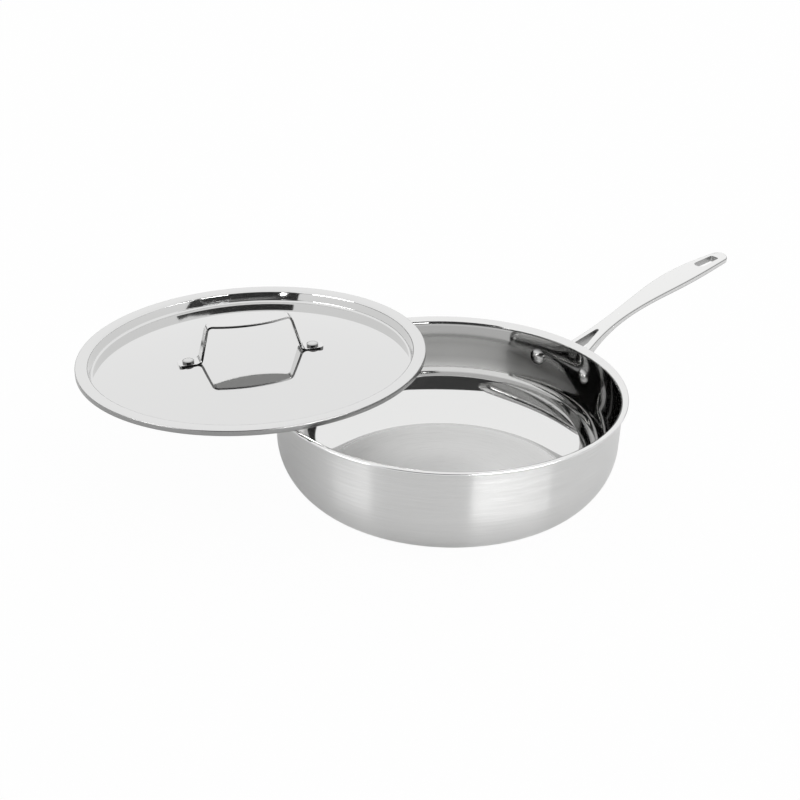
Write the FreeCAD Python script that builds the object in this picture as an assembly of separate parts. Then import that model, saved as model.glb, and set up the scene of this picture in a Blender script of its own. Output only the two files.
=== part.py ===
import FreeCAD, Part
import math
import os

# A lidded saute pan, in millimetres, standing on its base at the origin.
# The long handle runs along +X and +Z is up. The lid lies beside the mouth, resting on the rim.

# Pan body, pressed from one bonded three-layer sheet
PAN_HEIGHT = 90.6            # table to the top of the pouring lip
RIM_RADIUS = 147.0           # outer edge of the lip
LIP_WIDTH = 4.1              # lip beyond the wall's outer face
CORNER_RADIUS = 53.0         # outside round between the base and the wall
WALL_DRAFT = 3.0             # degrees that the wall leans outwards
OUTER_SKIN = 0.6             # steel outside
CORE = 1.4                   # aluminium between the skins
INNER_SKIN = 0.6             # steel inside
LIP_BEND = 2.4               # round under the lip

# Pan handle, a forked casting riveted to the wall
PLATE_WIDTH = 76.0           # mounting plate, measured round the wall
PLATE_HEIGHT = 23.0
PLATE_THICKNESS = 3.4
PLATE_SEAT = 0.05            # plate to wall
FORK_ROOT_WIDTH = 34.0       # over both legs, where they meet the wall
FORK_MIDDLE_WIDTH = 18.2     # over both legs, halfway along the opening
NECK_WIDTH = 13.8
GRIP_WIDTH = 25.0            # where the grip is widest
SLOT_WIDTH = 22.4            # grip beside the hanging hole's round end
TIP_RADIUS = 8.8
HANDLE_LENGTH = 209.8        # from the lip to the handle's end
FORK_MIDDLE_REACH = 27.0     # each reach is measured outwards from the lip
NECK_REACH = 53.0
GRIP_REACH = 137.0
ROOT_RISE = -16.4            # the handle's top line above the lip, at the wall, neck, grip and tip
NECK_RISE = 3.0
GRIP_RISE = 19.2
TIP_RISE = 24.3
ROOT_THICKNESS = 14.0        # depth of the casting at the same places
NECK_THICKNESS = 6.6
GRIP_THICKNESS = 5.8
TIP_THICKNESS = 5.4
HANDLE_EDGE = 1.3            # soft round along the handle's edges
FORK_APEX_REACH = 35.6       # centre of the round at the narrow end of the opening
FORK_APEX_RADIUS = 1.8
FORK_OPENING_WIDTH = 18.0    # opening at the plate
HANG_HOLE_INSET = 33.8       # from the handle's end to the centre of the hanging hole's round end
HANG_HOLE_LENGTH = 21.5      # from that centre to the flat end
HANG_HOLE_RADIUS = 5.3
HANG_HOLE_END_WIDTH = 8.4
HANG_HOLE_CORNER = 1.8       # round at each corner of the flat end

# Pan rivets
RIVET_DROP = 22.6            # below the top of the lip
RIVET_SPACING = 53.0         # between the two heads
RIVET_HEAD_RADIUS = 7.3
RIVET_HEAD_RISE = 3.2
RIVET_SHANK_RADIUS = 3.0
RIVET_TAIL_RADIUS = 5.4
RIVET_TAIL_RISE = 1.6
RIVET_CLEARANCE = 0.05       # round every shank

# Lid, pressed from one sheet
LID_SHEET = 1.0
LID_EDGE_INSET = 0.3         # turned-down edge inside the lip's outer edge, when the lid is on
LID_EDGE_DROP = 5.2          # height of the turned-down edge
LID_EDGE_ROUND = 1.3         # bend between the flange and its edge
LID_MOUTH_CLEARANCE = 3.4    # recess to the inside of the wall
LID_RECESS = 10.2            # flange top to the edge of the panel
LID_DOME = 9.5               # rise of the panel from its edge to its middle
LID_RECESS_FLARE = 1.4       # the recess is this much wider at its top
LID_ROUND = 2.2              # rounds at the top and the bottom of the recess

# Lid handle, a bent strap riveted at both ends
STRAP_THICKNESS = 2.0
STRAP_WIDTH = 8.4            # at the ends of the bar, where the strap is narrowest
BAR_WIDTH = 22.5             # in the middle of the bar
BAR_LENGTH = 68.6            # between the inside corners of the bar
BAR_CLEARANCE = 29.1         # panel to the underside of the bar
FOOT_SPACING = 84.8          # between the inside corners of the feet
STRAP_BEND = 4.0             # inside round of every bend
PAD_WIDTH = 13.2
PAD_END = 8.8                # from the rivet's axis to the end of the pad
PAD_CORNER = 4.0             # round at each corner of the pad
LID_RIVET_SPACING = 106.0
LID_RIVET_HEAD_RADIUS = 4.9
LID_RIVET_HEAD_SIDE = 1.6    # straight side of the head
LID_RIVET_HEAD_DOME = 1.6
LID_RIVET_SHANK_RADIUS = 2.5
LID_RIVET_TAIL_RADIUS = 5.6
LID_RIVET_TAIL_RISE = 1.5
LID_HANDLE_TURN = -28.4      # degrees from +X

# Where the lid lies
LID_BEYOND_RIM = 24.8        # lid centre, outside the lip
LID_AZIMUTH = 120.4          # degrees from +X
LID_DROOP = 2.95             # degrees that the far side hangs lower
LID_REST_GAP = 0.3           # between lid and lip

# Sizes that follow
WALL = OUTER_SKIN + CORE + INNER_SKIN
DRAFT = math.radians(WALL_DRAFT)
BASE_TO_CORNER = CORNER_RADIUS * math.tan((math.pi / 2 - DRAFT) / 2)
LIP_UNDER = PAN_HEIGHT - WALL
BASE_RADIUS = RIM_RADIUS - LIP_WIDTH - LIP_UNDER * math.tan(DRAFT) - BASE_TO_CORNER
RIVET_HEIGHT = PAN_HEIGHT - RIVET_DROP
HANDLE_TIP = RIM_RADIUS + HANDLE_LENGTH
FORK_APEX = RIM_RADIUS + FORK_APEX_REACH
HANG_HOLE = HANDLE_TIP - HANG_HOLE_INSET
SINK = 0.5                   # blanks reach this far into what they are then trimmed to fit
UP = FreeCAD.Vector(0, 0, 1)
ORIGIN = FreeCAD.Vector(0, 0, 0)


def at(reach, height):
    """A point of an upright section, by its distance from the axis and its height."""
    return FreeCAD.Vector(reach, 0, height)


def plan(reach, side):
    """A point of a plan outline."""
    return FreeCAD.Vector(reach, side, 0)


def line(start, end):
    return Part.makeLine(start, end)


def filled(edges):
    """The face inside a closed run of edges."""
    return Part.Face(Part.Wire(Part.sortEdges(edges)[0]))


def directions(points):
    return [(end - start).normalize() for start, end in zip(points, points[1:])]


def turn(before, after):
    """Positive where an upright outline turns to its left."""
    return before.x * after.z - before.z * after.x


def shifted(points, depth):
    """The same open outline, moved sideways to the left of its direction of travel."""
    ways = directions(points)
    sides = [at(-way.z, way.x) * depth for way in ways]
    moved = [points[0] + sides[0]]
    for corner, before, after, side, next_side in zip(points[1:], ways, ways[1:], sides, sides[1:]):
        run = turn(next_side - side, after) / turn(before, after)
        moved.append(corner + side + before * run)
    return moved + [points[-1] + sides[-1]]


def rounded(points, radii):
    """Straight runs joined by tangent arcs, one radius for each inner point."""
    edges = []
    start = points[0]
    for corner, after, radius in zip(points[1:], points[2:], radii):
        back = (start - corner).normalize()
        ahead = (after - corner).normalize()
        half_turn = (math.pi - back.getAngle(ahead)) / 2
        reach = radius * math.tan(half_turn)
        bisector = (back + ahead).normalize()
        middle = corner + bisector * (radius / math.cos(half_turn) - radius)
        edges.append(line(start, corner + back * reach))
        edges.append(Part.Arc(corner + back * reach, middle, corner + ahead * reach).toShape())
        start = corner + ahead * reach
    return edges + [line(start, points[-1])]


def sheet(points, radii, near, far):
    """Section of a bent sheet between two depths to the left of an outline."""
    ways = directions(points)
    edges = []
    ends = []
    for depth in (near, far):
        bends = [radius - depth * math.copysign(1, turn(before, after))
                 for radius, before, after in zip(radii, ways, ways[1:])]
        moved = shifted(points, depth)
        edges += rounded(moved, bends)
        ends.append((moved[0], moved[-1]))
    return filled(edges + [line(ends[0][0], ends[1][0]), line(ends[0][1], ends[1][1])])


def turned(section):
    """A full turn of an upright section about the pan's or the lid's own axis."""
    return section.revolve(ORIGIN, UP, 360)


# The pan body

def wall_radius(height, depth):
    """Radius of the straight wall at a height, a depth inside its outer face."""
    return BASE_RADIUS + BASE_TO_CORNER + height * math.tan(DRAFT) - depth / math.cos(DRAFT)


def pan_layer(near, far):
    outline = [at(0, 0), at(wall_radius(0, 0), 0), at(wall_radius(LIP_UNDER, 0), LIP_UNDER),
               at(RIM_RADIUS, LIP_UNDER)]
    return turned(sheet(outline, [CORNER_RADIUS, LIP_BEND], near, far))


# The pan rivets

def rivet_places():
    """Where each rivet's axis leaves the inside of the wall, and the way it points."""
    reach = wall_radius(RIVET_HEIGHT, WALL)
    angle = math.asin(RIVET_SPACING / 2 / reach)
    places = {}
    for side, turned_by in (("left", angle), ("right", -angle)):
        seat = FreeCAD.Vector(reach * math.cos(turned_by), reach * math.sin(turned_by), RIVET_HEIGHT)
        outwards = FreeCAD.Vector(math.cos(turned_by) * math.cos(DRAFT),
                                  math.sin(turned_by) * math.cos(DRAFT), -math.sin(DRAFT))
        places[side] = (seat, outwards)
    return places


def domed_head(radius, side, dome):
    """A head along +Z: a straight side from below the seat, then a dome."""
    edges = [line(at(0, -SINK), at(radius, -SINK)), line(at(radius, -SINK), at(radius, side))]
    ball = (radius ** 2 + dome ** 2) / (2 * dome)
    half = math.asin(radius / ball) / 2
    middle = at(ball * math.sin(half), side + dome - ball * (1 - math.cos(half)))
    edges.append(Part.Arc(at(radius, side), middle, at(0, side + dome)).toShape())
    edges.append(line(at(0, side + dome), at(0, -SINK)))
    return turned(filled(edges))


def along(shape, seat, way):
    """A shape made along +Z, placed with its origin at a seat and pointing another way."""
    placed = shape.copy()
    placed.Placement = FreeCAD.Placement(seat, FreeCAD.Rotation(UP, way))
    return placed


def rivet(seat, outwards, wall, handle):
    grip = WALL + PLATE_SEAT + PLATE_THICKNESS
    tail_seat = seat + outwards * grip
    head = along(domed_head(RIVET_HEAD_RADIUS, 0, RIVET_HEAD_RISE), seat, outwards * -1).cut(wall)
    tail = along(domed_head(RIVET_TAIL_RADIUS, 0, RIVET_TAIL_RISE), tail_seat, outwards).cut(handle)
    shank = Part.makeCylinder(RIVET_SHANK_RADIUS, grip + SINK * 2, seat - outwards * SINK, outwards)
    return head.fuse([shank, tail]).removeSplitter()


def rivet_hole(seat, outwards):
    reach = WALL + PLATE_THICKNESS + RIVET_TAIL_RISE
    return Part.makeCylinder(RIVET_SHANK_RADIUS + RIVET_CLEARANCE, reach * 2, seat - outwards * reach, outwards)


# The pan handle

def smooth(points):
    curve = Part.BSplineCurve()
    curve.interpolate(points)
    return curve.toShape()


def casting_side():
    """The casting seen from the side, from inside the wall to beyond its tip."""
    stations = [(wall_radius(RIVET_HEIGHT, WALL), ROOT_RISE, ROOT_THICKNESS),
                (RIM_RADIUS + NECK_REACH, NECK_RISE, NECK_THICKNESS),
                (RIM_RADIUS + GRIP_REACH, GRIP_RISE, GRIP_THICKNESS),
                (HANDLE_TIP, TIP_RISE, TIP_THICKNESS)]
    top = [at(reach, PAN_HEIGHT + rise) for reach, rise, depth in stations]
    under = [at(reach, PAN_HEIGHT + rise - depth) for reach, rise, depth in stations]
    return filled([smooth(top), smooth(under), line(top[0], under[0]), line(top[-1], under[-1])])


def casting_plan():
    """The casting seen from above, with a round tip."""
    tip_start = HANDLE_TIP - TIP_RADIUS
    stations = [(wall_radius(RIVET_HEIGHT, WALL), FORK_ROOT_WIDTH),
                (RIM_RADIUS + FORK_MIDDLE_REACH, FORK_MIDDLE_WIDTH),
                (RIM_RADIUS + NECK_REACH, NECK_WIDTH),
                (RIM_RADIUS + GRIP_REACH, GRIP_WIDTH),
                (HANG_HOLE, SLOT_WIDTH),
                (tip_start, 2 * TIP_RADIUS)]
    left = [plan(reach, width / 2) for reach, width in stations]
    right = [plan(reach, -width / 2) for reach, width in stations]
    tip = Part.Arc(left[-1], plan(HANDLE_TIP, 0), right[-1]).toShape()
    return filled([smooth(left), tip, smooth(right), line(left[0], right[0])])


def fork_opening():
    """The gap between the two legs, from the plate to its round narrow end."""
    start = wall_radius(RIVET_HEIGHT, -PLATE_SEAT - PLATE_THICKNESS)
    half = FORK_OPENING_WIDTH / 2
    slope = math.atan2(half - FORK_APEX_RADIUS, FORK_APEX - start)
    touch_reach = FORK_APEX + FORK_APEX_RADIUS * math.sin(slope)
    touch_side = FORK_APEX_RADIUS * math.cos(slope)
    left = line(plan(start, half), plan(touch_reach, touch_side))
    right = line(plan(start, -half), plan(touch_reach, -touch_side))
    apex = Part.Arc(plan(touch_reach, touch_side), plan(FORK_APEX + FORK_APEX_RADIUS, 0),
                    plan(touch_reach, -touch_side)).toShape()
    return filled([left, apex, right, line(plan(start, half), plan(start, -half))])


def hanging_hole():
    """A slot with a round inner end and a narrower flat outer end."""
    end = HANG_HOLE + HANG_HOLE_LENGTH
    half = HANG_HOLE_END_WIDTH / 2
    start_left = plan(HANG_HOLE, HANG_HOLE_RADIUS)
    start_right = plan(HANG_HOLE, -HANG_HOLE_RADIUS)
    round_end = Part.Arc(start_left, plan(HANG_HOLE - HANG_HOLE_RADIUS, 0), start_right).toShape()
    flat_end = rounded([start_left, plan(end, half), plan(end, -half), start_right],
                       [HANG_HOLE_CORNER, HANG_HOLE_CORNER])
    return filled(flat_end + [round_end])


def raised(outline):
    """A plan outline as a prism through the whole height of the handle."""
    return outline.extrude(UP * (PAN_HEIGHT + TIP_RISE) * 2)


def mounting_plate():
    """A rounded plate that follows the wall's curve and lean."""
    low = RIVET_HEIGHT - PLATE_HEIGHT / 2
    high = RIVET_HEIGHT + PLATE_HEIGHT / 2
    outside = -PLATE_SEAT - PLATE_THICKNESS
    corners = [at(wall_radius(low, -PLATE_SEAT), low), at(wall_radius(low, outside), low),
               at(wall_radius(high, outside), high), at(wall_radius(high, -PLATE_SEAT), high)]
    ring = turned(filled([line(a, b) for a, b in zip(corners, corners[1:] + corners[:1])]))
    straight = PLATE_WIDTH - PLATE_HEIGHT
    ends = [Part.makeCylinder(PLATE_HEIGHT / 2, RIM_RADIUS * 2, FreeCAD.Vector(0, side * straight / 2, RIVET_HEIGHT),
                              FreeCAD.Vector(1, 0, 0)) for side in (1, -1)]
    middle = Part.makeBox(RIM_RADIUS * 2, straight, PLATE_HEIGHT, FreeCAD.Vector(0, -straight / 2, low))
    return ring.common(middle.fuse(ends).removeSplitter())


def pan_space():
    """Everything inside the wall's outer face, and the seat around it."""
    corners = [at(0, 0), at(wall_radius(0, -PLATE_SEAT), 0),
               at(wall_radius(PAN_HEIGHT, -PLATE_SEAT), PAN_HEIGHT), at(0, PAN_HEIGHT)]
    return turned(filled([line(a, b) for a, b in zip(corners, corners[1:] + corners[:1])]))


def pan_handle():
    side = casting_side()
    side.translate(FreeCAD.Vector(0, -FORK_ROOT_WIDTH, 0))
    casting = side.extrude(FreeCAD.Vector(0, FORK_ROOT_WIDTH * 2, 0)).common(raised(casting_plan()))
    inner_end = wall_radius(RIVET_HEIGHT, 0)
    edges = [edge for edge in casting.Edges
             if edge.BoundBox.XMax > inner_end and edge.Length > TIP_THICKNESS * 2]
    casting = casting.makeFillet(HANDLE_EDGE, edges)
    casting = casting.cut([raised(fork_opening()), raised(hanging_hole()), pan_space()])
    return casting.fuse(mounting_plate()).removeSplitter()


# The lid, made about its own axis with the top of its flange at height zero

def lid_panel_radius():
    """Radius of the recess at the bottom, on the upper face."""
    mouth = wall_radius(LIP_UNDER, WALL)
    return mouth - LID_MOUTH_CLEARANCE - LID_RECESS_FLARE - LID_SHEET


def panel_height(radius):
    """Height of the panel's upper face below the flange, at a radius."""
    return LID_DOME * (1 - (radius / lid_panel_radius()) ** 2) - LID_RECESS


def lid_sheet():
    edge = lid_panel_radius()
    middle = LID_DOME - LID_RECESS
    rim = RIM_RADIUS - LID_EDGE_INSET
    outline = [at(0, middle), at(edge / 2, middle), at(edge, -LID_RECESS), at(edge + LID_RECESS_FLARE, 0),
               at(rim, 0), at(rim, -LID_EDGE_DROP)]
    tangent = edge / 2 - LID_ROUND * 2
    dome_round = tangent / math.tan(math.atan2(LID_DOME, edge / 2) / 2)
    return turned(sheet(outline, [dome_round, LID_ROUND, LID_ROUND, LID_EDGE_ROUND], 0, -LID_SHEET))


def strap_end():
    """Distance from the middle of the strap to the end of a pad."""
    return LID_RIVET_SPACING / 2 + PAD_END


def strap_outline():
    """The strap seen from above: a leaf-shaped bar, tapered legs and blunt pads."""
    edges = []
    for way in (1, -1):
        bar = way * BAR_LENGTH / 2
        foot = way * FOOT_SPACING / 2
        end = way * strap_end()
        outline = [plan(bar, STRAP_WIDTH / 2), plan(foot, PAD_WIDTH / 2), plan(end, PAD_WIDTH / 2),
                   plan(end, -PAD_WIDTH / 2), plan(foot, -PAD_WIDTH / 2), plan(bar, -STRAP_WIDTH / 2)]
        edges += rounded(outline, [PAD_CORNER] * (len(outline) - 2))
        leaf = [plan(-bar, way * STRAP_WIDTH / 2), plan(0, way * BAR_WIDTH / 2), plan(bar, way * STRAP_WIDTH / 2)]
        edges.append(Part.Arc(*leaf).toShape())
    return filled(edges)


def pad_seat():
    """Height that a pad's flat underside is made to, a little inside the panel's crown."""
    return panel_height(strap_end())


def lid_strap(lid):
    reach = strap_end()
    low = pad_seat()
    high = panel_height(0) + BAR_CLEARANCE
    points = [at(-reach, low), at(-FOOT_SPACING / 2, low), at(-BAR_LENGTH / 2, high),
              at(BAR_LENGTH / 2, high), at(FOOT_SPACING / 2, low), at(reach, low)]
    section = sheet(points, [STRAP_BEND + STRAP_THICKNESS, STRAP_BEND, STRAP_BEND, STRAP_BEND + STRAP_THICKNESS],
                    0, STRAP_THICKNESS)
    section.translate(FreeCAD.Vector(0, -BAR_WIDTH, 0))
    outline = strap_outline()
    outline.translate(UP * -LID_RECESS * 2)
    prism = outline.extrude(UP * (LID_RECESS * 3 + BAR_CLEARANCE + STRAP_THICKNESS))
    return section.extrude(FreeCAD.Vector(0, BAR_WIDTH * 2, 0)).common(prism).cut(lid)


def lid_rivet_seat(way):
    return FreeCAD.Vector(way * LID_RIVET_SPACING / 2, 0, pad_seat() + STRAP_THICKNESS)


def lid_rivet(way, lid, strap):
    seat = lid_rivet_seat(way)
    under = panel_height(LID_RIVET_SPACING / 2) - LID_SHEET
    head = along(domed_head(LID_RIVET_HEAD_RADIUS, LID_RIVET_HEAD_SIDE, LID_RIVET_HEAD_DOME), seat, UP).cut(strap)
    tail = along(domed_head(LID_RIVET_TAIL_RADIUS, 0, LID_RIVET_TAIL_RISE),
                 FreeCAD.Vector(seat.x, 0, under), UP * -1).cut(lid)
    shank = Part.makeCylinder(LID_RIVET_SHANK_RADIUS, seat.z - under + SINK * 2,
                              FreeCAD.Vector(seat.x, 0, under - SINK))
    return head.fuse([shank, tail]).removeSplitter()


def lid_rivet_hole(way):
    seat = lid_rivet_seat(way)
    reach = STRAP_THICKNESS + LID_SHEET + LID_RIVET_TAIL_RISE
    return Part.makeCylinder(LID_RIVET_SHANK_RADIUS + RIVET_CLEARANCE, reach * 2, seat - UP * reach)


def lay_lid(shape):
    """Turn the lid's handle, tip the lid and set it down on the lip where the two circles cross."""
    offset = RIM_RADIUS + LID_BEYOND_RIM
    droop = math.radians(LID_DROOP)
    azimuth = math.radians(LID_AZIMUTH)
    plug = lid_panel_radius() + LID_SHEET
    crossing = (RIM_RADIUS ** 2 + offset ** 2 - plug ** 2) / (2 * offset)
    height = PAN_HEIGHT + LID_REST_GAP + LID_RECESS + LID_SHEET - (offset - crossing) * math.tan(droop)
    laid = shape.copy()
    laid.rotate(ORIGIN, UP, LID_HANDLE_TURN)
    laid.rotate(ORIGIN, FreeCAD.Vector(-math.sin(azimuth), math.cos(azimuth), 0), LID_DROOP)
    laid.translate(FreeCAD.Vector(offset * math.cos(azimuth), offset * math.sin(azimuth), height))
    return laid


# The pieces

def pan_pieces():
    whole_wall = pan_layer(0, WALL)
    handle = pan_handle()
    places = rivet_places()
    holes = [rivet_hole(seat, outwards) for seat, outwards in places.values()]
    pieces = {
        "pan_outer_skin": pan_layer(0, OUTER_SKIN).cut(holes),
        "pan_core": pan_layer(OUTER_SKIN, OUTER_SKIN + CORE).cut(holes),
        "pan_inner_skin": pan_layer(OUTER_SKIN + CORE, WALL).cut(holes),
        "pan_handle": handle.cut(holes),
    }
    for side, (seat, outwards) in places.items():
        pieces["pan_rivet_" + side] = rivet(seat, outwards, whole_wall, handle)
    return pieces


def lid_pieces():
    lid = lid_sheet()
    strap = lid_strap(lid)
    ways = {"left": -1, "right": 1}
    holes = [lid_rivet_hole(way) for way in ways.values()]
    pieces = {"lid": lid.cut(holes), "lid_handle": strap.cut(holes)}
    for side, way in ways.items():
        pieces["lid_rivet_" + side] = lid_rivet(way, lid, strap)
    return {node: lay_lid(shape) for node, shape in pieces.items()}


os.makedirs("parts", exist_ok=True)
for node, shape in {**pan_pieces(), **lid_pieces()}.items():
    box = shape.BoundBox
    print(node, "solids", len(shape.Solids), "valid", shape.isValid(), "volume", round(shape.Volume, 1),
          "x", round(box.XMin, 1), round(box.XMax, 1), "y", round(box.YMin, 1), round(box.YMax, 1),
          "z", round(box.ZMin, 1), round(box.ZMax, 1))
    shape.exportStep("parts/" + node + ".step")
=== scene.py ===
import math

import bmesh
import bpy
import numpy as np
from mathutils import Matrix, Vector


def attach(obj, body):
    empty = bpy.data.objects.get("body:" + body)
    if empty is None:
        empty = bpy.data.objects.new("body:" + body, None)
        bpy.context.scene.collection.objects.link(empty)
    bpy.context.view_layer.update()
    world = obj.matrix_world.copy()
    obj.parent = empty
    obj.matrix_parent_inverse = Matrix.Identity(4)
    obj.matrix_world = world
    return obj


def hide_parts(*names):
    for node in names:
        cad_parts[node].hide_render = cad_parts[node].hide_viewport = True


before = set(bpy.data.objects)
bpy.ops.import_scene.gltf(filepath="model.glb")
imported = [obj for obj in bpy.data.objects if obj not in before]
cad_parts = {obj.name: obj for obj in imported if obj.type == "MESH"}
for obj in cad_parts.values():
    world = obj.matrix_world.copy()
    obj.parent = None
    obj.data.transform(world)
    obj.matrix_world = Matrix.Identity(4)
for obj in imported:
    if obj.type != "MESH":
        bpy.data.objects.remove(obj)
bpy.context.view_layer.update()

# The outside of the pan: the outer steel skin of a bonded three-layer sheet, pressed to shape in one piece.
# A belt is held against the turning pan, which leaves fine brush lines round the wall and the base.
MM = 0.001
BASE_RADIUS = 87.993 * MM
CORNER_RADIUS = 53.0 * MM
WALL_LEAN = math.radians(3.0)
PAN_HEIGHT = 90.6 * MM
RIM_RADIUS = 147.0 * MM
SHEET = 2.6 * MM
OUTER_SKIN = 0.6 * MM
LIP_BEND = 2.4 * MM
LIP_EDGE_STEPS = 6
TURNED_STEPS = 256
CORNER_STEPS = 44
LIP_STEPS = 12
MERGE = 0.001 * MM
SHARP_ANGLE = math.radians(32)
NOISE_SPREAD = (0.3, 0.7)
BRUSH_LINES = (1100.0, 3.0)
BRUSH_CONTRAST = (0.35, 0.65)
BRUSH_BUMP = (0.06, 0.02 * MM)
LINE_DETAIL = 3.0
BRUSHED_COLOUR = (0.695, 0.695, 0.69, 1.0)
BRUSHED_LIGHT = (0.765, 0.765, 0.76, 1.0)
BRUSHED_ROUGHNESS = (0.20, 0.25)
BRUSHED_ANISOTROPY = 1.0
QUARTER_TURN = 0.25


def wall_radius(height, depth):
    """Radius of the straight wall at a height, a depth inside its outer face."""
    foot = BASE_RADIUS + CORNER_RADIUS * math.tan((math.pi / 2 - WALL_LEAN) / 2)
    return foot + height * math.tan(WALL_LEAN) - depth / math.cos(WALL_LEAN)


def run(bm, vert, reach, height):
    """Draw a section straight on to another point."""
    vert = bmesh.ops.extrude_vert_indiv(bm, verts=[vert])["verts"][0]
    vert.co = (reach, 0, height)
    return vert


def bend(bm, vert, reach, height, angle, steps):
    """Draw a section on round a centre, anticlockwise for a positive angle."""
    swept = bmesh.ops.spin(bm, geom=[vert], cent=(reach, 0, height), axis=(0, -1, 0), angle=angle,
                           steps=steps)
    return next(part for part in swept["geom_last"] if isinstance(part, bmesh.types.BMVert))


def follow(bm, vert, outline, rounds, steps, depth):
    """Draw a section on along an outline with rounded corners, a depth to the left of it."""
    corners = [Vector(point) for point in outline]
    ways = [(end - start).normalized() for start, end in zip(corners, corners[1:])]
    sides = [Vector((-way.y, way.x)) for way in ways]
    turns = zip(corners[1:], ways, ways[1:], sides, sides[1:], rounds, steps)
    for corner, before, after, side, next_side, radius, count in turns:
        corner = corner + (side + next_side) * depth / (1 + side.dot(next_side))
        angle = math.atan2(before.cross(after), before.dot(after))
        radius -= depth * math.copysign(1, angle)
        start = corner - before * radius * math.tan(abs(angle) / 2)
        centre = start + side * math.copysign(radius, angle)
        vert = run(bm, vert, *start)
        vert = bend(bm, vert, *centre, angle, count)
    return run(bm, vert, *(corners[-1] + sides[-1] * depth))


def turned(bm, steps):
    """Turn a section once round the axis."""
    bmesh.ops.spin(bm, geom=bm.verts[:] + bm.edges[:], cent=(0, 0, 0), axis=(0, 0, 1), angle=2 * math.pi,
                   steps=steps, use_merge=True)
    bmesh.ops.remove_doubles(bm, verts=bm.verts, dist=MERGE)


def pan_layer(near, far):
    """A layer of the pan as a closed shell, turned about the pan's axis, with its share of the round lip."""
    lip_under = PAN_HEIGHT - SHEET
    half = SHEET / 2
    rounds = (CORNER_RADIUS, LIP_BEND)
    steps = (CORNER_STEPS, LIP_STEPS)
    outline = [(0, 0), (wall_radius(0, 0), 0), (wall_radius(lip_under, 0), lip_under)]
    low, high = (math.asin(depth / half - 1) for depth in (near, far))
    out = outline + [(RIM_RADIUS - half + half * math.cos(low), lip_under)]
    back = [(RIM_RADIUS - half + half * math.cos(high), lip_under)] + outline[::-1]
    bm = bmesh.new()
    vert = follow(bm, bm.verts.new((0, 0, near)), out, rounds, steps, near)
    vert = bend(bm, vert, RIM_RADIUS - half, lip_under + half, high - low, LIP_EDGE_STEPS)
    follow(bm, vert, back, rounds[::-1], steps[::-1], -far)
    turned(bm, TURNED_STEPS)
    return bm


def finished(bm, name, material, slot, body, *nodes):
    """Close a piece's mesh, give it its material and fix it to its body."""
    bmesh.ops.recalc_face_normals(bm, faces=bm.faces)
    mesh = bpy.data.meshes.new(name)
    bm.to_mesh(mesh)
    bm.free()
    mesh.shade_smooth()
    mesh.set_sharp_from_angle(angle=SHARP_ANGLE)
    mesh.materials.append(material)
    piece = bpy.data.objects.new(name, mesh)
    bpy.context.collection.objects.link(piece)
    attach(piece, body)
    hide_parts(*nodes)


def steel(name, colour, roughness):
    """Bare metal, with its node tree ready for a finish."""
    material = bpy.data.materials.new(name)
    material.use_nodes = True
    shader = material.node_tree.nodes["Principled BSDF"]
    shader.inputs["Base Color"].default_value = colour
    shader.inputs["Metallic"].default_value = 1.0
    shader.inputs["Roughness"].default_value = roughness
    return material, material.node_tree, shader


def node(tree, kind, **settings):
    """Add a node with its settings."""
    made = tree.nodes.new(kind)
    for name, value in settings.items():
        setattr(made, name, value)
    return made


def math_node(tree, operation, first, second=None):
    """Work on one or two values, each another node's output or a number."""
    made = node(tree, "ShaderNodeMath", operation=operation)
    for socket, value in zip(made.inputs, (first, second)):
        if isinstance(value, bpy.types.NodeSocket):
            tree.links.new(value, socket)
        elif value is not None:
            socket.default_value = value
    return made.outputs[0]


def ranged(tree, value, low, high, out_low, out_high):
    """A value carried from one range to another, held at both ends."""
    made = node(tree, "ShaderNodeMapRange", clamp=True)
    tree.links.new(value, made.inputs["Value"])
    for name, number in (("From Min", low), ("From Max", high), ("To Min", out_low), ("To Max", out_high)):
        made.inputs[name].default_value = number
    return made.outputs["Result"]


def varied(tree, noise, low, high):
    """A finish that varies with a noise between two values."""
    return ranged(tree, noise, *NOISE_SPREAD, low, high)


def turned_lines(tree, lines_per_metre, lines_round):
    """Noise drawn out into fine lines round the pan's axis, and the radius they lie at."""
    place = node(tree, "ShaderNodeTexCoord").outputs["Object"]
    split = node(tree, "ShaderNodeSeparateXYZ")
    tree.links.new(place, split.inputs[0])
    x, y, z = split.outputs
    radius = math_node(tree, "SQRT", math_node(tree, "ADD", math_node(tree, "MULTIPLY", x, x),
                                               math_node(tree, "MULTIPLY", y, y)))
    joined = node(tree, "ShaderNodeCombineXYZ")
    reach = math_node(tree, "MULTIPLY", math_node(tree, "ADD", z, radius), lines_per_metre)
    for value, socket in ((x, "X"), (y, "Y")):
        way = math_node(tree, "MULTIPLY", math_node(tree, "DIVIDE", value, radius), lines_round)
        tree.links.new(way, joined.inputs[socket])
    tree.links.new(reach, joined.inputs["Z"])
    noise = node(tree, "ShaderNodeTexNoise")
    noise.inputs["Scale"].default_value = 1.0
    noise.inputs["Detail"].default_value = LINE_DETAIL
    tree.links.new(joined.outputs[0], noise.inputs["Vector"])
    return noise.outputs[0], radius


def bumped(tree, shader, height, strength, distance):
    """Raise a finish a little from the metal."""
    bump = node(tree, "ShaderNodeBump")
    bump.inputs["Strength"].default_value = strength
    bump.inputs["Distance"].default_value = distance
    tree.links.new(height, bump.inputs["Height"])
    tree.links.new(bump.outputs[0], shader.inputs["Normal"])


def shaded(tree, shader, first, *changes):
    """Colour a metal from place to place: one shade, then others, each with its share."""
    before = None
    for share, colour in changes:
        shades = node(tree, "ShaderNodeMix", data_type="RGBA")
        shades.inputs["A"].default_value = first
        shades.inputs["B"].default_value = colour
        if before:
            tree.links.new(before, shades.inputs["A"])
        tree.links.new(share, shades.inputs["Factor"])
        before = shades.outputs["Result"]
    tree.links.new(before, shader.inputs["Base Color"])


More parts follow.
